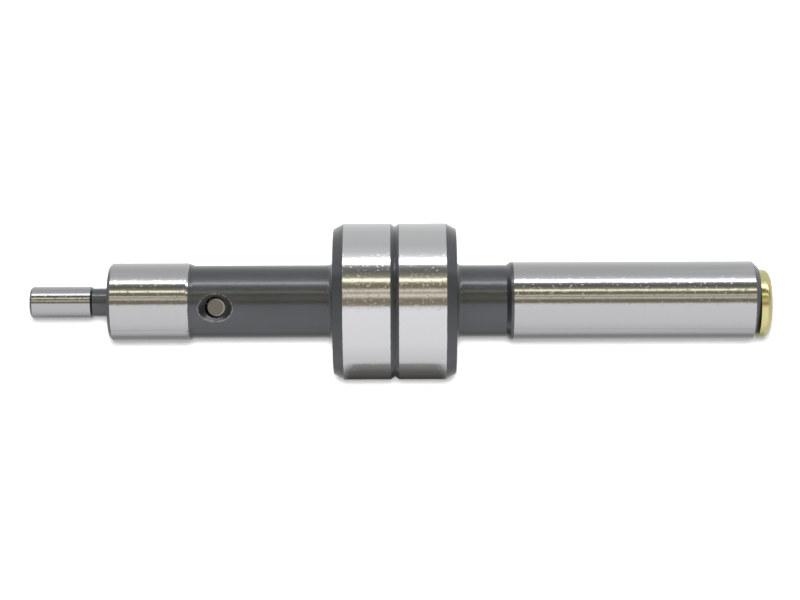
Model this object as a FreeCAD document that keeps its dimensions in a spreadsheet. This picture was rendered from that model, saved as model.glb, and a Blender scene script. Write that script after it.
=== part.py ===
import FreeCAD, Part
import math
import os
import re

import Sketcher
from FreeCAD import Placement, Rotation, Vector

# Mechanical edge finder with a 10 mm shank, in millimetres.
# X runs along the tool: +X towards the brass cap, -X towards the contact tip. +Z is up.
# The origin lies on the axis, in the middle of the shank's ground gripping length.
# Sizes along the tool are counted from the parting plane, where the two lapped ring faces meet.

SIZES = [
    ("ring_dia", 20.0, "both halves of the ring, ground"),
    ("ring_width", 7.8, "one half of the ring, along the axis"),
    ("ring_bevel_length", 1.3, "outer bevel of the ring, along the axis"),
    ("ring_bevel_depth", 0.7, "outer bevel of the ring, along the radius"),
    ("parting_bevel_length", 0.54, "bevel beside the parting plane, along the axis"),
    ("parting_bevel_depth", 0.38, "bevel beside the parting plane, along the radius"),
    ("ring_fillet", 0.8, "corner between the ring and each neck"),
    ("shank_dia", 10.0, "ground shank"),
    ("shank_neck_dia", 9.25, "neck between the ring and the shank"),
    ("shank_neck_end", 14.2, "parting plane to the end of the shank's neck"),
    ("shank_bevel_length", 0.55, "cone from the neck up to the shank"),
    ("unground_length", 0.35, "full diameter left unground beside that cone"),
    ("shank_end", 46.4, "parting plane to the shank's end face"),
    ("shank_edge", 0.75, "45 degree bevel at the shank's end face"),
    ("contact_dia", 10.0, "ground body of the contact half"),
    ("contact_neck_dia", 9.35, "neck of the contact half"),
    ("contact_neck_end", 25.6, "parting plane to the end of the contact half's neck"),
    ("contact_bevel_length", 0.8, "cone from that neck up to the ground body"),
    ("contact_end", 36.4, "parting plane to the end face that carries the tip"),
    ("contact_edge", 0.4, "45 degree bevel at that end face"),
    ("tip_dia", 4.0, "ground contact tip"),
    ("tip_neck_dia", 3.6, "undercut behind the tip"),
    ("tip_neck_length", 2.2, "undercut, along the axis"),
    ("tip_bevel_length", 0.25, "cone from the undercut up to the tip"),
    ("tip_fillet", 0.35, "corner between the undercut and the end face"),
    ("tip_end", 46.55, "parting plane to the end face of the tip"),
    ("tip_edge", 0.25, "broken edge at the end of the tip"),
    ("bore_dia", 6.0, "bore for the spring, in both halves"),
    ("bore_mouth", 0.4, "45 degree bevel at each mouth of the bore"),
    ("bore_past_loop", 0.8, "bore left beyond the spring's loop"),
    ("drill_angle", 118.0, "point of the blind bore, degrees"),
    ("pin_dia", 2.4, "cross pin"),
    ("pin_length", 8.0, "cross pin"),
    ("pin_edge", 0.12, "bevel at both ends of the cross pin"),
    ("pin_play", 0.15, "radial clearance of the cross pin in its hole"),
    ("pin_from_parting", 22.7, "parting plane to the middle of the cross hole"),
    ("sink_dia", 4.3, "countersink of the cross hole, at the top of the neck"),
    ("sink_angle", 90.0, "countersink of the cross hole, degrees"),
    ("contact_turn", 10.0, "how far the contact half stands turned about the axis, degrees"),
    ("cap_dia", 8.75, "head of the brass cap"),
    ("cap_thickness", 1.45, "head of the brass cap"),
    ("cap_rim", 0.9, "rounding of the head's outer edge"),
    ("cap_off_centre", 0.43, "how far the loose cap sits off the axis"),
    ("stem_play", 0.5, "radial clearance of the cap's stem in the bore"),
    ("stem_length", 3.0, "round part of the cap's stem"),
    ("tongue_thickness", 1.6, "flat tongue that carries the eye"),
    ("tongue_corner", 1.6, "rounding of the tongue's end"),
    ("eye_dia", 1.5, "eye for the spring's hook"),
    ("eye_edge", 0.2, "45 degree bevel at both mouths of the eye"),
    ("eye_wall", 0.9, "metal between the eye and the tongue's end"),
    ("eye_root", 0.7, "tongue between the eye and the round part of the stem"),
    ("wire_dia", 0.7, "spring wire"),
    ("coil_play", 0.6, "radial clearance of the coil in the bore"),
    ("coil_start", 5.0, "parting plane to the first turn of the coil"),
    ("coil_turns", 8.0, "turns of the coil"),
    ("coil_pitch", 1.25, "advance of each turn, with the spring stretched"),
    ("end_bend", 0.9, "reach of the bend from the coil's end into the leg"),
    ("loop_play", 0.15, "radial clearance of the spring's loops round what they hold"),
    ("loop_neck", 0.8, "radius of the bend from a leg into its loop"),
    ("loop_opening", 30.0, "angle left open between a loop's end and its leg, degrees"),
    ("seat_gap", 0.02, "clearance kept where loose round pieces bear on each other"),
]

# Formulas used in more than one place, written with the sheet's aliases.
GRIP_START = "(shank_neck_end + shank_bevel_length + unground_length)"
GRIP_END = "(shank_end - shank_edge)"
PARTING_X = f"(-({GRIP_START} + {GRIP_END}) / 2)"
PIN_X = "(pin_play - seat_gap - pin_from_parting)"
LOOP_RADIUS = "(pin_dia / 2 + loop_play + wire_dia / 2)"
LOOP_INSIDE = "(pin_dia / 2 + loop_play)"
BORE_DEPTH = f"(pin_from_parting + {LOOP_RADIUS} + wire_dia / 2 + bore_past_loop)"
STEM_RADIUS = "(bore_dia / 2 - stem_play)"
TONGUE_END = "(stem_length + eye_root + eye_dia + eye_wall)"
EYE_CENTRE = "(stem_length + eye_root + eye_dia / 2)"
COIL_RADIUS = "(bore_dia / 2 - coil_play - wire_dia / 2)"

# The coil is laid in short lengths, so that no face of the wire winds round past itself.
LENGTHS_PER_TURN = 3

doc = FreeCAD.newDocument("EdgeFinder")
sheet = doc.addObject("Spreadsheet::Sheet", "Sizes")
for row, (alias, number, meaning) in enumerate(SIZES, start=1):
    sheet.set(f"A{row}", alias)
    sheet.set(f"B{row}", str(number))
    sheet.set(f"C{row}", meaning)
    sheet.setAlias(f"B{row}", alias)
doc.recompute()
ALIASES = {alias for alias, number, meaning in SIZES}


def formula(text):
    """A formula written with bare aliases, as setExpression wants it."""
    return re.sub(r"[a-z_]+", lambda m: "Sizes." + m[0] if m[0] in ALIASES else m[0], text)


def number_of(text):
    """The value that a formula has now."""
    return float(sheet.evalExpression(formula(text)))


def bind(item, prop, text):
    item.setExpression(prop, formula(text))


# ---------------------------------------------------------------- sketches and features

def new_body(name):
    body = doc.addObject("PartDesign::Body", name)
    body.Label = name
    return body


def sketch_on(body, role, name):
    """A sketch on one of the body's own origin planes, found by its role."""
    sketch = body.newObject("Sketcher::SketchObject", name)
    plane = next(item for item in body.Origin.OriginFeatures if item.Role == role)
    sketch.AttachmentSupport = [(plane, "")]
    sketch.MapMode = "FlatFace"
    return sketch


def add_outline(sketch, corners):
    """A closed outline through corners, each a pair of formulas for the sketch's x and y."""
    spots = [Vector(number_of(x), number_of(y), 0) for x, y in corners]
    first = sketch.GeometryCount
    count = len(spots)
    for i in range(count):
        sketch.addGeometry(Part.LineSegment(spots[i], spots[(i + 1) % count]), False)
    for i in range(count):
        joint = Sketcher.Constraint("Coincident", first + i, 2, first + (i + 1) % count, 1)
        sketch.addConstraint(joint)
    for i, (x, y) in enumerate(corners):
        for kind, text, now in (("DistanceX", x, spots[i].x), ("DistanceY", y, spots[i].y)):
            index = sketch.addConstraint(Sketcher.Constraint(kind, -1, 1, first + i, 1, now))
            bind(sketch, f"Constraints[{index}]", text)


def add_circle(sketch, x, diameter):
    """A circle with its centre on the sketch's x axis."""
    circle = Part.Circle(Vector(number_of(x), 0, 0), Vector(0, 0, 1), number_of(diameter) / 2)
    item = sketch.addGeometry(circle, False)
    sketch.addConstraint(Sketcher.Constraint("PointOnObject", item, 3, -1))
    place = Sketcher.Constraint("DistanceX", -1, 1, item, 3, number_of(x))
    bind(sketch, f"Constraints[{sketch.addConstraint(place)}]", x)
    width = Sketcher.Constraint("Diameter", item, number_of(diameter))
    bind(sketch, f"Constraints[{sketch.addConstraint(width)}]", diameter)


def revolve(body, sketch, axis, name):
    """Turn an outline about the sketch's own H_Axis or V_Axis."""
    solid = body.newObject("PartDesign::Revolution", name)
    solid.Profile = sketch
    solid.ReferenceAxis = (sketch, [axis])
    solid.Angle = 360
    sketch.Visibility = False
    doc.recompute()
    return solid


def round_edges(feature, places):
    """Names of a feature's circular edges at places, each (centre, radius) in its body."""
    names = []
    for index, edge in enumerate(feature.Shape.Edges, start=1):
        if not isinstance(edge.Curve, Part.Circle):
            continue
        for centre, radius in places:
            near = edge.Curve.Center.distanceToPoint(centre) < 1e-4
            if near and abs(edge.Curve.Radius - radius) < 1e-4:
                names.append(f"Edge{index}")
    assert len(names) >= len(places), f"missing edges on {feature.Name}"
    return names


def dress(body, kind, name, places, prop, text):
    """A PartDesign Fillet or Chamfer on the round edges at places."""
    base = body.Tip
    feature = body.newObject(f"PartDesign::{kind}", name)
    feature.Base = (base, round_edges(base, places))
    bind(feature, prop, text)
    doc.recompute()
    return feature


def check_cut(body, feature, volume_before):
    """Make a feature the body's tip, and see that it removed metal."""
    body.Tip = feature
    doc.recompute()
    assert body.Shape.Volume < volume_before - 1e-3, f"{feature.Name} cuts nothing"


def drill(body, sketch, name, diameter, depth=None, sink_dia=None, towards_normal=False):
    """A Hole through everything, or blind with a drill point; countersunk if asked."""
    doc.recompute()
    volume_before = body.Shape.Volume
    hole = body.newObject("PartDesign::Hole", name)
    hole.Profile = sketch
    doc.recompute()
    hole.Threaded = False
    hole.Reversed = towards_normal
    bind(hole, "Diameter", diameter)
    if depth is None:
        hole.DepthType = "ThroughAll"
    else:
        hole.DepthType = "Dimension"
        bind(hole, "Depth", depth)
        hole.DrillPoint = "Angled"
        bind(hole, "DrillPointAngle", "drill_angle")
    if sink_dia is not None:
        hole.HoleCutType = "Countersink"
        hole.HoleCutCustomValues = True
        bind(hole, "HoleCutDiameter", sink_dia)
        bind(hole, "HoleCutCountersinkAngle", "sink_angle")
    sketch.Visibility = False
    check_cut(body, hole, volume_before)
    return hole


def mirror_cut(body, hole, role, name):
    """Repeat a cut on the other side of one of the body's origin planes."""
    volume_before = body.Shape.Volume
    mirrored = body.newObject("PartDesign::Mirrored", name)
    mirrored.Originals = [hole]
    plane = next(item for item in body.Origin.OriginFeatures if item.Role == role)
    mirrored.MirrorPlane = (plane, [""])
    check_cut(body, mirrored, volume_before)


def cut_through(body, sketch, name):
    """A Pocket through everything, both ways from the sketch."""
    doc.recompute()
    volume_before = body.Shape.Volume
    pocket = body.newObject("PartDesign::Pocket", name)
    pocket.Profile = sketch
    pocket.Type = "ThroughAll"
    pocket.Midplane = True
    sketch.Visibility = False
    check_cut(body, pocket, volume_before)


# ---------------------------------------------------------------- the shank half

def make_shank_body():
    body = new_body("shank_body")
    profile = sketch_on(body, "XY_Plane", "shank_profile")
    add_outline(profile, [
        ("0", "0"),
        ("0", "ring_dia / 2 - parting_bevel_depth"),
        ("parting_bevel_length", "ring_dia / 2"),
        ("ring_width - ring_bevel_length", "ring_dia / 2"),
        ("ring_width", "ring_dia / 2 - ring_bevel_depth"),
        ("ring_width", "shank_neck_dia / 2"),
        ("shank_neck_end", "shank_neck_dia / 2"),
        ("shank_neck_end + shank_bevel_length", "shank_dia / 2"),
        (GRIP_END, "shank_dia / 2"),
        ("shank_end", "shank_dia / 2 - shank_edge"),
        ("shank_end", "0"),
    ])
    revolve(body, profile, "H_Axis", "shank_turned")
    ring_corner = (Vector(number_of("ring_width"), 0, 0), number_of("shank_neck_dia / 2"))
    dress(body, "Fillet", "shank_ring_fillet", [ring_corner], "Radius", "ring_fillet")

    start = sketch_on(body, "YZ_Plane", "shank_bore_circle")
    add_circle(start, "0", "bore_dia")
    drill(body, start, "shank_bore", "bore_dia", towards_normal=True)
    radius = number_of("bore_dia / 2")
    mouths = [(Vector(number_of(x), 0, 0), radius) for x in ("0", "shank_end")]
    dress(body, "Chamfer", "shank_bore_mouths", mouths, "Size", "bore_mouth")
    bind(body, "Placement.Base.x", PARTING_X)
    return body


# ---------------------------------------------------------------- the contact half

def make_contact_body():
    body = new_body("contact_body")
    profile = sketch_on(body, "XY_Plane", "contact_profile")
    add_outline(profile, [
        ("0", "0"),
        ("0", "ring_dia / 2 - parting_bevel_depth"),
        ("-parting_bevel_length", "ring_dia / 2"),
        ("ring_bevel_length - ring_width", "ring_dia / 2"),
        ("-ring_width", "ring_dia / 2 - ring_bevel_depth"),
        ("-ring_width", "contact_neck_dia / 2"),
        ("-contact_neck_end", "contact_neck_dia / 2"),
        ("-contact_neck_end - contact_bevel_length", "contact_dia / 2"),
        ("contact_edge - contact_end", "contact_dia / 2"),
        ("-contact_end", "contact_dia / 2 - contact_edge"),
        ("-contact_end", "tip_neck_dia / 2"),
        ("-contact_end - tip_neck_length", "tip_neck_dia / 2"),
        ("-contact_end - tip_neck_length - tip_bevel_length", "tip_dia / 2"),
        ("tip_edge - tip_end", "tip_dia / 2"),
        ("-tip_end", "tip_dia / 2 - tip_edge"),
        ("-tip_end", "0"),
    ])
    revolve(body, profile, "H_Axis", "contact_turned")
    ring_corner = (Vector(-number_of("ring_width"), 0, 0), number_of("contact_neck_dia / 2"))
    dress(body, "Fillet", "contact_ring_fillet", [ring_corner], "Radius", "ring_fillet")
    tip_corner = (Vector(-number_of("contact_end"), 0, 0), number_of("tip_neck_dia / 2"))
    dress(body, "Fillet", "tip_root_fillet", [tip_corner], "Radius", "tip_fillet")

    start = sketch_on(body, "YZ_Plane", "contact_bore_circle")
    add_circle(start, "0", "bore_dia")
    drill(body, start, "contact_bore", "bore_dia", depth=BORE_DEPTH)
    mouth = (Vector(0, 0, 0), number_of("bore_dia / 2"))
    dress(body, "Chamfer", "contact_bore_mouth", [mouth], "Size", "bore_mouth")

    start = sketch_on(body, "XY_Plane", "cross_hole_circle")
    add_circle(start, "-pin_from_parting", "pin_dia + 2 * pin_play")
    bind(start, "AttachmentOffset.Base.z", "contact_neck_dia / 2")
    cross = drill(body, start, "cross_hole", "pin_dia + 2 * pin_play", sink_dia="sink_dia")
    mirror_cut(body, cross, "XY_Plane", "cross_hole_far_side")

    bind(body, "Placement.Base.x", PARTING_X)
    body.Placement.Rotation = Rotation(Vector(1, 0, 0), number_of("contact_turn"))
    bind(body, "Placement.Rotation.Angle", "contact_turn")
    return body


def make_cross_pin():
    body = new_body("cross_pin")
    profile = sketch_on(body, "XZ_Plane", "pin_profile")
    add_outline(profile, [
        ("0", "-pin_length / 2"),
        ("pin_dia / 2", "-pin_length / 2"),
        ("pin_dia / 2", "pin_length / 2"),
        ("0", "pin_length / 2"),
    ])
    revolve(body, profile, "V_Axis", "pin_turned")
    half, radius = number_of("pin_length / 2"), number_of("pin_dia / 2")
    ends = [(Vector(0, 0, side * half), radius) for side in (-1, 1)]
    dress(body, "Chamfer", "pin_ends", ends, "Size", "pin_edge")
    bind(body, "Placement.Base.x", f"{PARTING_X} + {PIN_X}")
    body.Placement.Rotation = Rotation(Vector(1, 0, 0), number_of("contact_turn"))
    bind(body, "Placement.Rotation.Angle", "contact_turn")
    return body


# ---------------------------------------------------------------- the brass cap

def make_end_cap():
    """Head, round stem, and a tongue milled flat and pierced with an eye."""
    body = new_body("end_cap")
    profile = sketch_on(body, "XY_Plane", "cap_profile")
    add_outline(profile, [
        ("cap_thickness", "0"),
        ("cap_thickness", "cap_dia / 2"),
        ("0", "cap_dia / 2"),
        ("0", STEM_RADIUS),
        (f"-{TONGUE_END}", STEM_RADIUS),
        (f"-{TONGUE_END}", "0"),
    ])
    revolve(body, profile, "H_Axis", "cap_turned")
    head, stem = number_of("cap_dia / 2"), number_of(STEM_RADIUS)
    outer_face = Vector(number_of("cap_thickness"), 0, 0)
    tongue_tip = Vector(-number_of(TONGUE_END), 0, 0)
    dress(body, "Fillet", "cap_rim_round", [(outer_face, head)], "Radius", "cap_rim")
    dress(body, "Fillet", "tongue_tip_round", [(tongue_tip, stem)], "Radius", "tongue_corner")

    flats = sketch_on(body, "XZ_Plane", "tongue_flats")
    for side in ("", "-"):
        add_outline(flats, [
            ("-stem_length", f"{side}tongue_thickness / 2"),
            ("-stem_length", f"{side}{STEM_RADIUS}"),
            (f"-{TONGUE_END}", f"{side}{STEM_RADIUS}"),
            (f"-{TONGUE_END}", f"{side}tongue_thickness / 2"),
        ])
    cut_through(body, flats, "tongue_milled")
    eye = sketch_on(body, "XY_Plane", "eye_circle")
    add_circle(eye, f"-{EYE_CENTRE}", "eye_dia")
    cut_through(body, eye, "eye_drilled")
    centre, radius = -number_of(EYE_CENTRE), number_of("eye_dia / 2")
    face = number_of("tongue_thickness / 2")
    mouths = [(Vector(centre, 0, side * face), radius) for side in (-1, 1)]
    dress(body, "Chamfer", "eye_mouths", mouths, "Size", "eye_edge")
    bind(body, "Placement.Base.x", f"{PARTING_X} + shank_end")
    bind(body, "Placement.Base.y", "-cap_off_centre")
    return body


# ---------------------------------------------------------------- the spring

class WirePath:
    """Lays straight runs and arcs end to end, each tangent to the one before."""

    def __init__(self, start, heading):
        self.at = start
        self.heading = heading
        self.edges = []

    def run(self, length):
        end = self.at + self.heading * length
        self.edges.append(Part.LineSegment(self.at, end).toShape())
        self.at = end

    def turn(self, radius, angle, towards):
        """Bend by an angle in radians, towards a unit vector square to the heading."""
        spots = [
            self.at + self.heading * (radius * math.sin(part))
            + towards * (radius * (1 - math.cos(part)))
            for part in (angle / 2, angle)
        ]
        self.edges.append(Part.Arc(self.at, *spots).toShape())
        self.heading, inward = (
            self.heading * math.cos(angle) + towards * math.sin(angle),
            towards * math.cos(angle) - self.heading * math.sin(angle),
        )
        self.at = spots[1]
        return inward


def spring_end(start, radial, around, out, leg_offset, loop_x, side):
    """Bend from the coil's end to a leg along the axis, then a loop in the plane of out and side.

    radial points from the leg's line to the coil's end; around is the way the wire goes there.
    """
    lead = math.atan(number_of("coil_pitch") / (2 * math.pi * number_of(COIL_RADIUS)))
    reach = number_of("end_bend")
    across = number_of(COIL_RADIUS) + leg_offset
    first_radius = (across**2 - reach**2) / (2 * across)
    first_angle = math.pi - math.atan2(reach, first_radius)
    second_angle = math.acos(math.cos(first_angle) * math.sin(lead))
    second_radius = reach / math.tan(second_angle / 2)

    path = WirePath(start, around * math.cos(lead) + out * math.sin(lead))
    path.turn(first_radius, first_angle, radial * -1)
    inward = (out - path.heading * math.cos(second_angle)) * (1 / math.sin(second_angle))
    path.turn(second_radius, second_angle, inward)
    path.heading = out

    loop, neck = number_of(LOOP_RADIUS), number_of("loop_neck")
    to_centre = math.sqrt(loop**2 + 2 * loop * neck)
    path.run(abs(loop_x - path.at.x) - to_centre)
    tangent_at = math.asin(neck / (loop + neck))
    away = path.turn(neck, math.pi / 2 - tangent_at, side)
    opening = math.radians(number_of("loop_opening"))
    path.turn(loop, 2 * math.pi - tangent_at - opening, away * -1)
    return path


def make_tension_spring():
    """One wire: a loop on the cross pin, leg, coil, leg, and a hook through the cap's eye."""
    along = Vector(1, 0, 0)
    parting = number_of(PARTING_X)
    radius, pitch, turns = (number_of(t) for t in (COIL_RADIUS, "coil_pitch", "coil_turns"))
    first_x = parting + number_of("coil_start")

    # The coil ends on the side away from the cap's offset, so that its leg can bend back to it.
    end_radial = Vector(0, 1, 0)
    start_radial = Rotation(along, -360 * turns).multVec(end_radial)
    lengths = math.ceil(turns * LENGTHS_PER_TURN)
    share = turns / lengths
    coil = []
    for i in range(lengths):
        radial = Rotation(along, 360 * share * i).multVec(start_radial)
        helix = Part.makeHelix(pitch, pitch * share, radius)
        turned = Rotation(radial, along.cross(radial), along, "ZXY")
        helix.Placement = Placement(Vector(first_x + pitch * share * i, 0, 0), turned)
        coil += helix.Edges

    pin_loop_x = parting + number_of(f"{PIN_X} + loop_play - seat_gap")
    inside = number_of(LOOP_INSIDE)
    bite = math.sqrt(inside**2 - (number_of("tongue_thickness / 2 - eye_edge"))**2)
    eye_edge_x = number_of(f"shank_end - {EYE_CENTRE} - eye_dia / 2")
    hook_x = parting + eye_edge_x - bite + number_of("seat_gap")

    pin_side = Rotation(along, number_of("contact_turn")).multVec(Vector(0, 1, 0))
    start = Vector(first_x, 0, 0) + start_radial * radius
    end = Vector(first_x + pitch * turns, 0, 0) + end_radial * radius
    pin_end = spring_end(
        start, start_radial, start_radial.cross(along), along * -1, 0, pin_loop_x, pin_side
    )
    offset = number_of("cap_off_centre")
    cap_end = spring_end(
        end, end_radial, along.cross(end_radial), along, offset, hook_x, Vector(0, 0, 1)
    )
    wire = Part.Wire(pin_end.edges[::-1] + coil + cap_end.edges)

    path = doc.addObject("Part::Feature", "spring_path")
    path.Shape = wire
    section = doc.addObject("Part::Circle", "spring_section")
    bind(section, "Radius", "wire_dia / 2")
    section.Placement = Placement(pin_end.at, Rotation(Vector(0, 0, 1), pin_end.heading))
    doc.recompute()
    spring = doc.addObject("Part::Sweep", "tension_spring")
    spring.Label = "tension_spring"
    spring.Sections = [section]
    spring.Spine = (path, [f"Edge{i + 1}" for i in range(len(wire.Edges))])
    spring.Solid = True
    spring.Frenet = False
    doc.recompute()
    metal = wire.Length * math.pi * number_of("wire_dia / 2") ** 2
    assert abs(spring.Shape.Volume / metal - 1) < 0.01, "the spring's sweep lost its section"
    return spring


# ---------------------------------------------------------------- build and write

PIECES = [
    make_shank_body(),
    make_contact_body(),
    make_cross_pin(),
    make_end_cap(),
    make_tension_spring(),
]
doc.recompute()
for item in doc.Objects:
    assert not {"Invalid", "Error"} & set(item.State), f"{item.Name} failed: {item.State}"
for piece in PIECES:
    assert not piece.Shape.isNull() and piece.Shape.isValid(), f"{piece.Label} is not valid"
    assert len(piece.Shape.Solids) == 1, f"{piece.Label} is not one solid"

os.makedirs("parts", exist_ok=True)
for piece in PIECES:
    piece.Shape.exportStep(f"parts/{piece.Label}.step")
    print(piece.Label, round(piece.Shape.Volume, 2), piece.Shape.BoundBox)
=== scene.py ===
import math

import bmesh
import bpy
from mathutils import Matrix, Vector


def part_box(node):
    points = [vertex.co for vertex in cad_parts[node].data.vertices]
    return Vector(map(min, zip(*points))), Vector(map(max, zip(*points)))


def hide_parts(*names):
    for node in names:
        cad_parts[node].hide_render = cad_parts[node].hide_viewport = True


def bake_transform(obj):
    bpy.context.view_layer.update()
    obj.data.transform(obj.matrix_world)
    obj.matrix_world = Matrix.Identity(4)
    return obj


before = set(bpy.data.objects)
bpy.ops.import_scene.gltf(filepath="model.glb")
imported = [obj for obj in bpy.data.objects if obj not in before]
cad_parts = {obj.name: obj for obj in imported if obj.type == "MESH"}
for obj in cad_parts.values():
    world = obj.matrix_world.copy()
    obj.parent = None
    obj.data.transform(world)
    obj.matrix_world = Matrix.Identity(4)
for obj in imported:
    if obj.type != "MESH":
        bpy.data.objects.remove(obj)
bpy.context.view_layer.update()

MM = 0.001

# Where things are, in the row frame. The tool lies along X, and its axis passes through the origin.
PARTING_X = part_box("shank_body")[0].x
RING_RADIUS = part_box("shank_body")[1].z
FLOOR_Z = -RING_RADIUS
FLOOR_SIZE = 4.0
RING_REACH = 7.0 * MM

# Light on the paper: the lamp, the even fill, and what the paper adds by itself.
LAMP = 1.4
FILL = 0.06
PAPER_GLOW = 0.37
LAMP_HEIGHT = 285 * MM
LAMP_BACK = 19 * MM
LAMP_RADIUS = 18 * MM

# The camera, straight above the parting plane but for small shifts, and its roll.
LENS = 100
SENSOR = 36
CAMERA_PAST_PARTING = 0.66 * MM
CAMERA_BACK = 0.17 * MM
CAMERA_HEIGHT = 284.9 * MM
CAMERA_ROLL = math.radians(-0.2)

# Ground lands: from and to, counted along X from the parting plane, and the radius.
RING_LAND = (0.54 * MM, 6.5 * MM, 10.0 * MM)
SHANK_LAND = (15.1 * MM, 45.65 * MM, 5.0 * MM)
CONTACT_LAND = (26.15 * MM, 36.0 * MM, 5.0 * MM)
TIP_LAND = (38.85 * MM, 46.3 * MM, 2.0 * MM)
LAPPED_FACE = (3.4 * MM, 9.62 * MM)

# The pin's countersink in the contact half: where its axis is, how far it leans, and its mouth.
SINK_FROM_PARTING = 22.7 * MM
CONTACT_TURN = math.radians(10)
SINK_RADIUS = 2.15 * MM
CONTACT_NECK_RADIUS = 4.675 * MM
PIN_RIM_RADIUS = 1.08 * MM

# Edges of the lands: how soft they are, how far they wander, and how far in from the radius they fade.
LAND_EDGE = 0.05 * MM
EDGE_WANDER = 0.16 * MM
LAND_FADE = (0.2 * MM, 0.1 * MM)

# Depth of each relief in metres, on the oxide and on the ground steel.
WAVE_DEPTH = 3.2e-6
SPECK_DEPTH = (2.0e-6, 5.0e-6)
SPARKLE_DEPTH = (8.0e-6, 0.4e-6)
LINE_DEPTH = (0.9e-6, 0.3e-6)
FINE_DEPTH = (3.0e-6, 0.2e-6)

# Roughness, from the smoothest spots to the roughest.
STEEL_ROUGHNESS = (0.07, 0.10)
OXIDE_ROUGHNESS = (0.38, 0.48)
BRASS_ROUGHNESS = (0.12, 0.24)
PIN_ROUGHNESS = (0.38, 0.52)
WIRE_ROUGHNESS = (0.26, 0.38)
OIL_ROUGHNESS = 0.09
# How bright the ground steel is painted on the thinnest land, against 1 on the ring: painted shade for
# the dimmer reflections thin parts show.
TIP_PAINTED_SHADE = 0.68

# Colours, linear.
GROUND_STEEL = (0.64, 0.64, 0.65)
BLACK_OXIDE = (0.078, 0.083, 0.092)
RIM_SPECK_COLOUR = (0.26, 0.255, 0.235)
PIN_STEEL = (0.19, 0.18, 0.15)
# The pin's bevel is painted this lighter colour: a painted highlight.
PIN_RIM_HIGHLIGHT = (0.36, 0.35, 0.31)
SPRING_STEEL = (0.46, 0.46, 0.47)
BRASS = (0.72, 0.605, 0.31)
TARNISH = (0.64, 0.63, 0.32)


# ---------------------------------------------------------------- shader building

class Graph:
    """One node tree, with a short call for each kind of node that the materials use."""

    def __init__(self, tree):
        self.tree = tree
        tree.nodes.clear()

    def put(self, value, socket):
        """Link a socket's value, or set a constant on it."""
        if isinstance(value, bpy.types.NodeSocket):
            self.tree.links.new(value, socket)
        elif value is not None:
            if socket.type == "RGBA" and len(value) == 3:
                value = (*value, 1.0)
            socket.default_value = value

    def node(self, kind, inputs=(), **settings):
        made = self.tree.nodes.new(kind)
        for name, value in settings.items():
            setattr(made, name, value)
        for name, value in dict(inputs).items():
            self.put(value, made.inputs[name])
        return made

    def math(self, operation, a, b=None):
        inputs = {0: a} if b is None else {0: a, 1: b}
        return self.node("ShaderNodeMath", inputs, operation=operation).outputs[0]

    def axes(self, vector):
        """The parts of a vector, under X, Y and Z."""
        return self.node("ShaderNodeSeparateXYZ", {"Vector": vector}).outputs

    def between(self, value, low, high, soft):
        """1 between low and high, and 0 outside, over an edge that is soft wide."""
        rise = self.fade(value, low - soft / 2, low + soft / 2)
        fall = self.fade(value, high + soft / 2, high - soft / 2)
        return self.math("MULTIPLY", rise, fall)

    def fade(self, value, start, end, low=0.0, high=1.0):
        """From low at start to high at end, smoothly, and level outside them."""
        inputs = {"Value": value, "From Min": start, "From Max": end, "To Min": low, "To Max": high}
        made = self.node("ShaderNodeMapRange", inputs, interpolation_type="SMOOTHSTEP")
        return made.outputs["Result"]

    def fade_straight(self, value, start, end):
        """From 0 at start to 1 at end, in a straight line, and level outside them."""
        inputs = {"Value": value, "From Min": start, "From Max": end}
        return self.node("ShaderNodeMapRange", inputs).outputs["Result"]

    def mix(self, share, a, b):
        made = self.node("ShaderNodeMix", data_type="RGBA")
        self.put(share, made.inputs[0])
        self.put(a, made.inputs[6])
        self.put(b, made.inputs[7])
        return made.outputs[2]

    def blend(self, share, a, b):
        """Mix two numbers."""
        made = self.node("ShaderNodeMix", data_type="FLOAT")
        self.put(share, made.inputs[0])
        self.put(a, made.inputs[2])
        self.put(b, made.inputs[3])
        return made.outputs[0]

    def place(self, stretch=(1, 1, 1)):
        """A point on the piece, in metres at rest, with each axis scaled."""
        spot = self.node("ShaderNodeTexCoord").outputs["Object"]
        mapping = self.node("ShaderNodeMapping", {"Vector": spot, "Scale": stretch})
        return mapping.outputs["Vector"]

    def noise(self, size, stretch=(1, 1, 1), detail=2.0, roughness=0.5):
        """Noise from 0 to 1 whose spots are about size across, in metres."""
        inputs = {"Vector": self.place(stretch), "Scale": 1 / size, "Detail": detail,
                  "Roughness": roughness}
        return self.node("ShaderNodeTexNoise", inputs).outputs["Fac"]

    def relief(self, height, depth, below=None):
        """A bump of that depth in metres, on top of another one."""
        inputs = {"Height": height, "Distance": depth, "Strength": 1.0}
        if below is not None:
            inputs["Normal"] = below
        return self.node("ShaderNodeBump", inputs).outputs["Normal"]


def shade(colour, factor):
    return tuple(factor * c for c in colour)


def new_material(name):
    material = bpy.data.materials.new(name)
    material.use_nodes = True
    return material, Graph(material.node_tree)


def metal(graph, colour, roughness, normal, oiled=0.0):
    """Bare metal. oiled is how much of it lies under a thin gloss of oil."""
    shader = graph.node("ShaderNodeBsdfPrincipled", {
        "Base Color": colour, "Metallic": 1.0, "Roughness": roughness, "Normal": normal,
        "Coat Weight": oiled, "Coat Roughness": OIL_ROUGHNESS, "Coat Normal": normal,
    })
    output = graph.node("ShaderNodeOutputMaterial")
    graph.put(shader.outputs["BSDF"], output.inputs["Surface"])


# ---------------------------------------------------------------- materials

def hole_frame(g, axes):
    """How far a point is from the pin's axis, and how far along it."""
    lean, upright = math.sin(CONTACT_TURN), math.cos(CONTACT_TURN)
    x = g.math("ADD", axes["X"], SINK_FROM_PARTING - PARTING_X)
    across = g.math("ADD", g.math("MULTIPLY", axes["Y"], upright),
                    g.math("MULTIPLY", axes["Z"], lean))
    up = g.math("SUBTRACT", g.math("MULTIPLY", axes["Z"], upright),
                g.math("MULTIPLY", axes["Y"], lean))
    squares = g.math("ADD", g.math("POWER", x, 2.0), g.math("POWER", across, 2.0))
    return g.math("SQRT", squares), up


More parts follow.
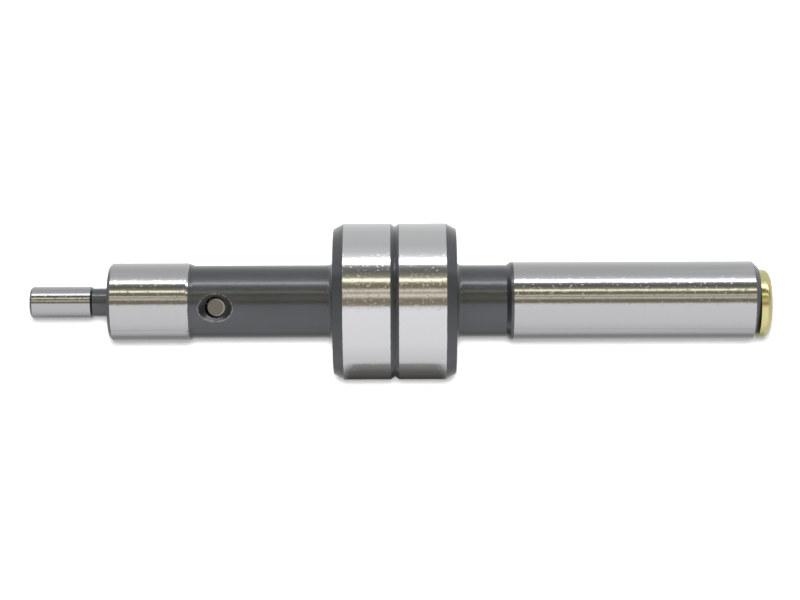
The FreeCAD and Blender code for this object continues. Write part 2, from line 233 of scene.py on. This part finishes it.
def rim_specks(g, axes, radius):
    """The countersink's rim, lighter in specks."""
    away, up = hole_frame(g, axes)
    past = g.math("SUBTRACT", g.math("ADD", away, CONTACT_NECK_RADIUS - SINK_RADIUS), up)
    rim = g.between(past, -0.03 * MM, 0.12 * MM, 0.05 * MM)
    rim = g.math("MULTIPLY", rim, g.fade(radius, CONTACT_NECK_RADIUS - 0.14 * MM,
                                         CONTACT_NECK_RADIUS - 0.08 * MM))
    specked = g.fade(g.noise(0.3 * MM, detail=3.0, roughness=0.7), 0.40, 0.56)
    return g.math("MULTIPLY", rim, specked)


def machined_steel(name, side, lands):
    """Blackened steel with its lands ground bright and its parting face lapped.

    side is 1 for the half on the cap's side of the parting plane and -1 for the contact half.
    """
    material, g = new_material(name)
    axes = g.axes(g.place())
    along = g.math("MULTIPLY", g.math("SUBTRACT", axes["X"], PARTING_X), float(side))
    y2 = g.math("POWER", axes["Y"], 2.0)
    z2 = g.math("POWER", axes["Z"], 2.0)
    radius = g.math("SQRT", g.math("ADD", y2, z2))

    # Where the wheel stopped is slightly ragged.
    ragged = g.noise(0.35 * MM, detail=3.0, roughness=0.7)
    wander = g.math("MULTIPLY", g.math("SUBTRACT", ragged, 0.5), EDGE_WANDER)
    edge = g.math("ADD", along, wander)
    bright = None
    for start, end, land_radius in lands:
        here = g.between(edge, start, end, LAND_EDGE)
        outside = g.fade(radius, land_radius - LAND_FADE[0], land_radius - LAND_FADE[1])
        here = g.math("MULTIPLY", here, outside)
        bright = here if bright is None else g.math("MAXIMUM", bright, here)
    lapped = g.math("MULTIPLY", g.between(along, -0.02 * MM, 0.02 * MM, 0.01 * MM),
                    g.between(radius, *LAPPED_FACE, LAND_EDGE))
    bright = g.math("MAXIMUM", bright, lapped)

    # Grinding lines run round the piece: fine along X and long round it.
    lines = g.noise(0.16 * MM, (1, 0.02, 0.02), detail=4.0, roughness=0.75)
    waves = g.noise(0.45 * MM, (0.7, 1, 1), detail=2.0)
    patches = g.noise(6 * MM, (0.6, 1, 1), detail=2.0)
    fine = g.noise(0.09 * MM, detail=2.0, roughness=0.6)
    specks = g.fade(g.noise(0.3 * MM, (0.8, 1, 1), detail=3.0, roughness=0.6), 0.58, 0.75)
    sparkle = g.noise(0.22 * MM, detail=3.0, roughness=0.7)

    steel = g.mix(lines, shade(GROUND_STEEL, 0.98), shade(GROUND_STEEL, 1.02))
    # Painted shade: the ground steel is painted darker the thinner the land, for the dimmer
    # reflections thin parts show.
    radius_shade = g.fade(radius, TIP_LAND[2], RING_LAND[2], TIP_PAINTED_SHADE, 1.0)
    steel = g.mix(radius_shade, (0, 0, 0), steel)
    oxide = g.mix(patches, shade(BLACK_OXIDE, 0.8), shade(BLACK_OXIDE, 1.25))
    if side < 0:
        oxide = g.mix(rim_specks(g, axes, radius), oxide, RIM_SPECK_COLOUR)
    colour = g.mix(bright, oxide, steel)
    steel_rough = g.fade(patches, 0.3, 0.7, *STEEL_ROUGHNESS)
    oxide_rough = g.fade(fine, 0.3, 0.7, *OXIDE_ROUGHNESS)
    roughness = g.blend(bright, oxide_rough, steel_rough)

    normal = g.relief(waves, WAVE_DEPTH)
    normal = g.relief(specks, g.blend(bright, *SPECK_DEPTH), normal)
    normal = g.relief(sparkle, g.blend(bright, *SPARKLE_DEPTH), normal)
    normal = g.relief(lines, g.blend(bright, *LINE_DEPTH), normal)
    normal = g.relief(fine, g.blend(bright, *FINE_DEPTH), normal)
    metal(g, colour, roughness, normal, g.fade_straight(bright, 1.0, 0.0))
    return material


def brass():
    """Turned and polished brass, a little dulled in patches."""
    material, g = new_material("polished_brass")
    lines = g.noise(0.12 * MM, (1, 0.03, 0.03), detail=3.0, roughness=0.7)
    dull = g.noise(1.6 * MM, detail=4.0, roughness=0.6)
    colour = g.mix(g.fade(dull, 0.35, 0.65), TARNISH, BRASS)
    roughness = g.fade(dull, 0.3, 0.7, *BRASS_ROUGHNESS)
    waves = g.noise(0.8 * MM, detail=2.0)
    normal = g.relief(lines, 0.5e-6, g.relief(waves, 6e-6))
    metal(g, colour, roughness, normal)
    return material


def pin_steel():
    """A sawn and faced pin end: satin, with faint turning marks and a painted highlight round its
    bevel.
    """
    material, g = new_material("satin_pin")
    grain = g.noise(0.12 * MM, detail=4.0, roughness=0.7)
    colour = g.mix(grain, shade(PIN_STEEL, 0.85), shade(PIN_STEEL, 1.15))
    axes = g.axes(g.place())
    away, _ = hole_frame(g, axes)
    # The bevel round its end is painted brighter: a painted highlight.
    colour = g.mix(g.fade(away, PIN_RIM_RADIUS - 0.1 * MM, PIN_RIM_RADIUS), colour, PIN_RIM_HIGHLIGHT)
    roughness = g.fade(grain, 0.3, 0.7, *PIN_ROUGHNESS)
    normal = g.relief(grain, 2e-6)
    metal(g, colour, roughness, normal)
    return material


def drawn_wire():
    """Spring wire: oiled, with draw lines."""
    material, g = new_material("drawn_wire")
    grain = g.noise(0.2 * MM, detail=3.0, roughness=0.6)
    colour = g.mix(grain, shade(SPRING_STEEL, 0.8), SPRING_STEEL)
    roughness = g.fade(grain, 0.3, 0.7, *WIRE_ROUGHNESS)
    normal = g.relief(grain, 1e-6)
    metal(g, colour, roughness, normal)
    return material


def give(node, material):
    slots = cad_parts[node].data.materials
    slots.clear()
    slots.append(material)


# ---------------------------------------------------------------- the spring

# The wire, in millimetres in the row frame: a right-hand coil, a leg to a loop on the pin, and a
# leg to a hook in the cap's eye.
WIRE_RADIUS = 0.35
COIL_RADIUS = 2.05
COIL_PITCH = 1.25
COIL_TURNS = 8
COIL_START = 5.0
END_BEND = 0.9
LOOP_RADIUS = 1.7
LOOP_NECK = 0.8
LOOP_OPENING = math.radians(30)
CAP_OFFSET = 0.43
PIN_LOOP_PLAY = 0.13
HOOK_FROM_PARTING = 40.011
WIRE_SIDES = 16
COIL_STEPS = 48
ARC_STEP = 0.2
LEAST_ARC_STEPS = 8
LEG_STEP = 1.0


class WirePath:
    """Points along a wire: straight runs and arcs, each tangent to the one before."""

    def __init__(self, start, heading):
        self.points = [start]
        self.heading = heading

    def run(self, length):
        start = self.points[-1]
        steps = max(2, math.ceil(length / LEG_STEP))
        for i in range(1, steps + 1):
            self.points.append(start + self.heading * (length * i / steps))

    def turn(self, radius, angle, towards):
        """Bend by an angle in radians, towards a unit vector square to the heading."""
        start, heading = self.points[-1], self.heading
        steps = max(LEAST_ARC_STEPS, math.ceil(radius * angle / ARC_STEP))
        for i in range(1, steps + 1):
            part = angle * i / steps
            self.points.append(start + heading * (radius * math.sin(part))
                               + towards * (radius * (1 - math.cos(part))))
        self.heading = heading * math.cos(angle) + towards * math.sin(angle)
        return towards * math.cos(angle) - heading * math.sin(angle)


def end_bend(start, radial, around, out, leg_offset):
    """The bend from the coil's end to a leg along the axis."""
    lead = math.atan(COIL_PITCH / (2 * math.pi * COIL_RADIUS))
    across = COIL_RADIUS + leg_offset
    first_radius = (across**2 - END_BEND**2) / (2 * across)
    first_angle = math.pi - math.atan2(END_BEND, first_radius)
    second_angle = math.acos(math.cos(first_angle) * math.sin(lead))
    path = WirePath(start, around * math.cos(lead) + out * math.sin(lead))
    path.turn(first_radius, first_angle, radial * -1)
    inward = (out - path.heading * math.cos(second_angle)) / math.sin(second_angle)
    path.turn(END_BEND / math.tan(second_angle / 2), second_angle, inward)
    path.heading = out
    return path


def loop_reach():
    """From the end of the leg to the middle of its loop."""
    return math.sqrt(LOOP_RADIUS**2 + 2 * LOOP_RADIUS * LOOP_NECK)


def leg_and_loop(path, loop_x, side):
    """A straight leg, and a loop round loop_x that bends first to one side."""
    path.run(abs(loop_x - path.points[-1].x) - loop_reach())
    tangent_at = math.asin(LOOP_NECK / (LOOP_RADIUS + LOOP_NECK))
    away = path.turn(LOOP_NECK, math.pi / 2 - tangent_at, side)
    path.turn(LOOP_RADIUS, 2 * math.pi - tangent_at - LOOP_OPENING, away * -1)


def make_wire(name, points):
    """A round wire along points, in millimetres, with its ends closed."""
    mesh = bmesh.new()
    rings = []
    across = None
    for i, point in enumerate(points):
        before, after = points[max(i - 1, 0)], points[min(i + 1, len(points) - 1)]
        heading = (after - before).normalized()
        if across is None:
            across = heading.orthogonal()
        across = (across - heading * across.dot(heading)).normalized()
        other = heading.cross(across)
        turns = [2 * math.pi * k / WIRE_SIDES for k in range(WIRE_SIDES)]
        rings.append([
            mesh.verts.new((point + across * (WIRE_RADIUS * math.cos(turn))
                            + other * (WIRE_RADIUS * math.sin(turn))) * MM)
            for turn in turns
        ])
    for near, far in zip(rings, rings[1:]):
        for k in range(WIRE_SIDES):
            after = (k + 1) % WIRE_SIDES
            mesh.faces.new((near[k], near[after], far[after], far[k])).smooth = True
    mesh.faces.new(rings[0][::-1])
    mesh.faces.new(rings[-1])
    data = bpy.data.meshes.new(name)
    mesh.to_mesh(data)
    mesh.free()
    piece = bpy.data.objects.new(name, data)
    bpy.context.collection.objects.link(piece)
    data.materials.append(bpy.data.materials["drawn_wire"])
    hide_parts("tension_spring")
    return piece


def make_spring():
    """Two lengths of one wire: the coil with its hook in the cap's eye, and the leg with its loop on
    the pin.
    """
    along, back, up = Vector((1, 0, 0)), Vector((0, 1, 0)), Vector((0, 0, 1))
    parting = PARTING_X / MM
    first_x = parting + COIL_START
    coil = []
    for i in range(COIL_TURNS * COIL_STEPS + 1):
        turn = 2 * math.pi * i / COIL_STEPS
        x = first_x + COIL_PITCH * i / COIL_STEPS
        coil.append(Vector((x, COIL_RADIUS * math.cos(turn), COIL_RADIUS * math.sin(turn))))

    bend = end_bend(coil[0], back, up * -1, along * -1, 0)
    bend_end = bend.points[-1]
    cap_end = end_bend(coil[-1], back, up, along, CAP_OFFSET)
    leg_and_loop(cap_end, parting + HOOK_FROM_PARTING, up)
    coil_piece = make_wire("spring_coil_and_hook", bend.points[:0:-1] + coil + cap_end.points[1:])
    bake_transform(coil_piece)

    low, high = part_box("cross_pin")
    loop_x = (low.x + high.x) / 2 / MM + PIN_LOOP_PLAY
    leg = WirePath(bend_end, along * -1)
    pin_side = Vector((0, math.cos(CONTACT_TURN), math.sin(CONTACT_TURN)))
    leg_and_loop(leg, loop_x, pin_side)
    leg_piece = make_wire("spring_leg_and_loop", leg.points)
    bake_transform(leg_piece)


# ---------------------------------------------------------------- studio

# What polished metal sees above the horizon, by the angle from overhead about the tool's axis, in
# degrees, towards the back (+Y): a soft front wall, the dark camera, slats and a strip lamp.
SKY = [
    (-90, (0.86, 0.86, 0.87)),
    (-65, (1.00, 1.00, 1.01)),
    (-12, (1.06, 1.06, 1.07)),
    (-8, (0.88, 0.85, 0.80)),
    (-5.5, (0.32, 0.29, 0.22)),
    (3, (0.27, 0.24, 0.17)),
    (6, (0.66, 0.62, 0.50)),
    (8.5, (1.00, 0.93, 0.78)),
    (10.5, (0.80, 0.74, 0.60)),
    (12, (0.36, 0.33, 0.24)),
    (14, (0.70, 0.65, 0.53)),
    (16, (1.05, 0.97, 0.82)),
    (18, (0.50, 0.45, 0.34)),
    (20, (0.24, 0.22, 0.15)),
    (26, (0.31, 0.27, 0.18)),
    (28, (0.65, 0.60, 0.44)),
    (30.5, (2.1, 2.05, 1.65)),
    (32, (2.0, 1.95, 1.55)),
    (34.5, (0.60, 0.58, 0.42)),
    (37, (0.33, 0.32, 0.24)),
    (44, (0.18, 0.175, 0.15)),
    (51, (0.26, 0.26, 0.26)),
    (55, (0.72, 0.72, 0.72)),
    (58, (5.0, 5.0, 5.1)),
    (63, (5.0, 5.0, 5.1)),
    (65.5, (1.6, 1.6, 1.6)),
    (68.5, (1.15, 1.15, 1.15)),
    (72, (0.90, 0.91, 0.90)),
    (77, (0.77, 0.78, 0.77)),
    (90, (0.67, 0.69, 0.68)),
]

# What it sees in the floor, by the angle from straight down about the axis, towards the back. The
# tool's shadow is painted in: darkest straight below it, and darker in a band in front of it.
FLOOR_SEEN_WITH_SHADOW = [
    (-90, (0.84, 0.84, 0.85)),
    (-82, (0.83, 0.83, 0.84)),
    (-75, (0.68, 0.68, 0.68)),
    (-69, (0.42, 0.42, 0.42)),
    (-63, (0.36, 0.36, 0.35)),
    (-58, (0.40, 0.40, 0.39)),
    (-47, (0.53, 0.53, 0.52)),
    (-36, (0.65, 0.65, 0.65)),
    (-20, (0.24, 0.24, 0.24)),
    (0, (0.10, 0.10, 0.10)),
    (20, (0.36, 0.36, 0.36)),
    (28, (0.68, 0.68, 0.68)),
    (35, (0.89, 0.89, 0.89)),
    (45, (0.89, 0.90, 0.90)),
    (55, (0.84, 0.86, 0.85)),
    (65, (0.76, 0.78, 0.77)),
    (73, (0.70, 0.72, 0.71)),
    (90, (0.66, 0.68, 0.67)),
]

# How much of that is left in the ring's own shadow, in front of it.
RING_SHADE = [
    (-86, (1.0, 1.0, 1.0)),
    (-83, (0.88, 0.88, 0.88)),
    (-81, (0.40, 0.40, 0.39)),
    (-73, (0.31, 0.30, 0.28)),
    (-66, (0.33, 0.32, 0.30)),
    (-56, (0.14, 0.13, 0.13)),
    (0, (0.14, 0.13, 0.13)),
    (30, (1.0, 1.0, 1.0)),
]
STUDIO_PEAK = 8.0
SIDEWAYS = (0.62, 0.82)
RING_SHADE_EDGE = 2 * MM
PAST_ENDS = 4 * MM
ENDS_EDGE = 8 * MM
ENDS = (0.75, 0.75, 0.76)

# What it sees past the tool's two ends, above the horizon.
SKY_ENDS = [
    (-90, (0.75, 0.75, 0.76)),
    (0, (0.62, 0.61, 0.58)),
    (38, (0.45, 0.45, 0.42)),
    (52, (0.30, 0.30, 0.32)),
    (66, (0.34, 0.34, 0.36)),
    (90, (0.66, 0.67, 0.67)),
]


def around_axis(g, stops, across, height, peak=1.0):
    """A colour by the angle from the vertical, in degrees, of a direction across and height."""
    angle = g.math("ARCTAN2", across, height)
    share = g.fade_straight(angle, math.radians(-90), math.radians(90))
    ramp = g.node("ShaderNodeValToRGB", {"Fac": share})
    marks = ramp.color_ramp.elements
    while len(marks) < len(stops):
        marks.new(0.5)
    for mark, (degrees, colour) in zip(marks, stops):
        mark.position = (degrees + 90) / 180
    for mark, (degrees, colour) in zip(marks, stops):
        mark.color = (*(c / peak for c in colour), 1.0)
    return ramp.outputs["Color"]


def make_world():
    """White to the camera, even light on dull surfaces, and the studio to polished metal."""
    world = bpy.data.worlds.new("studio")
    bpy.context.scene.world = world
    world.use_nodes = True
    g = Graph(world.node_tree)
    direction = g.node("ShaderNodeTexCoord").outputs["Generated"]
    axes = g.axes(direction)
    sky = around_axis(g, SKY, axes["Y"], axes["Z"], STUDIO_PEAK)
    past_ends = around_axis(g, SKY_ENDS, axes["Y"], axes["Z"], STUDIO_PEAK)
    aside = g.fade(g.math("ABSOLUTE", axes["X"]), *SIDEWAYS)
    seen = g.mix(aside, sky, past_ends)
    rays = g.node("ShaderNodeLightPath")
    plain = g.node("ShaderNodeBackground", {"Color": (1, 1, 1), "Strength": 1.0})
    studio = g.node("ShaderNodeBackground", {"Color": seen, "Strength": STUDIO_PEAK})
    fill = g.node("ShaderNodeBackground", {"Color": (1, 1, 1), "Strength": FILL})
    lit = g.node("ShaderNodeMixShader", {0: rays.outputs["Is Glossy Ray"], 1: fill.outputs[0],
                                         2: studio.outputs[0]})
    world_mix = g.node("ShaderNodeMixShader", {0: rays.outputs["Is Camera Ray"], 1: lit.outputs[0],
                                               2: plain.outputs[0]})
    output = g.node("ShaderNodeOutputWorld")
    g.put(world_mix.outputs[0], output.inputs["Surface"])


def floor_mirror(g):
    """What polished metal sees of the floor, by the spot on it: a glow only glossy rays see, with
    painted shadow under and in front of the tool.
    """
    spot = g.axes(g.node("ShaderNodeTexCoord").outputs["Object"])
    floor_with_shadow = around_axis(g, FLOOR_SEEN_WITH_SHADOW, spot["Y"], RING_RADIUS)
    shade = around_axis(g, RING_SHADE, spot["Y"], RING_RADIUS)
    by_ring = g.between(spot["X"], PARTING_X - RING_REACH, PARTING_X + RING_REACH,
                        RING_SHADE_EDGE)
    shade = g.mix(by_ring, (1, 1, 1), shade)
    shaded = g.node("ShaderNodeMix", data_type="RGBA", blend_type="MULTIPLY")
    g.put(1.0, shaded.inputs[0])
    g.put(floor_with_shadow, shaded.inputs[6])
    g.put(shade, shaded.inputs[7])
    low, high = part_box("contact_body")[0].x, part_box("end_cap")[1].x
    under = g.between(spot["X"], low - PAST_ENDS, high + PAST_ENDS, ENDS_EDGE)
    return g.mix(under, ENDS, shaded.outputs[2])


def make_floor():
    """A plain white floor. It keeps the tool's shadow, and polished metal sees the studio in it."""
    bpy.ops.mesh.primitive_plane_add(size=FLOOR_SIZE, location=(0, 0, FLOOR_Z))
    floor = bpy.context.object
    floor.name = "floor"
    material, g = new_material("floor_paper")
    rays = g.node("ShaderNodeLightPath")
    paper = g.node("ShaderNodeBsdfDiffuse", {"Color": (0.8, 0.8, 0.8)})
    glow = g.node("ShaderNodeEmission", {"Color": (1, 1, 1), "Strength": PAPER_GLOW})
    bright_paper = g.node("ShaderNodeAddShader", {0: paper.outputs[0], 1: glow.outputs[0]})
    mirror = g.node("ShaderNodeEmission", {"Color": floor_mirror(g), "Strength": 1.0})
    to_camera = g.node("ShaderNodeMixShader", {0: rays.outputs["Is Camera Ray"], 1: paper.outputs[0],
                                               2: bright_paper.outputs[0]})
    mixed = g.node("ShaderNodeMixShader", {0: rays.outputs["Is Glossy Ray"], 1: to_camera.outputs[0],
                                           2: mirror.outputs[0]})
    output = g.node("ShaderNodeOutputMaterial")
    g.put(mixed.outputs[0], output.inputs["Surface"])
    floor.data.materials.append(material)


def make_lamp():
    """A soft lamp above the tool and a little behind it, for the floor's shadow."""
    data = bpy.data.lights.new("overhead_lamp", "POINT")
    data.energy = LAMP * 4 * math.pi**2
    data.shadow_soft_size = LAMP_RADIUS
    data.use_nodes = True
    g = Graph(data.node_tree)
    even = g.node("ShaderNodeLightFalloff", {"Strength": 1.0}).outputs["Constant"]
    light = g.node("ShaderNodeEmission", {"Color": (1, 1, 1), "Strength": even})
    output = g.node("ShaderNodeOutputLight")
    g.put(light.outputs[0], output.inputs["Surface"])
    lamp = bpy.data.objects.new("overhead_lamp", data)
    lamp.location = (PARTING_X, LAMP_BACK, LAMP_HEIGHT)
    lamp.visible_glossy = False
    bpy.context.collection.objects.link(lamp)


def make_camera():
    """Straight above the tool, a long lens away."""
    data = bpy.data.cameras.new("camera")
    data.lens = LENS
    data.sensor_width = SENSOR
    data.clip_start = 0.01
    camera = bpy.data.objects.new("camera", data)
    camera.location = (PARTING_X + CAMERA_PAST_PARTING, CAMERA_BACK, CAMERA_HEIGHT)
    camera.rotation_euler = (0, 0, CAMERA_ROLL)
    bpy.context.collection.objects.link(camera)
    bpy.context.scene.camera = camera


# ---------------------------------------------------------------- build

give("shank_body", machined_steel("shank_steel_finish", 1, [RING_LAND, SHANK_LAND]))
give("contact_body", machined_steel("contact_steel_finish", -1, [RING_LAND, CONTACT_LAND, TIP_LAND]))
give("cross_pin", pin_steel())
give("end_cap", brass())
give("tension_spring", drawn_wire())
make_spring()

make_world()
make_floor()
make_lamp()
make_camera()
bpy.context.scene.view_settings.view_transform = "Standard"
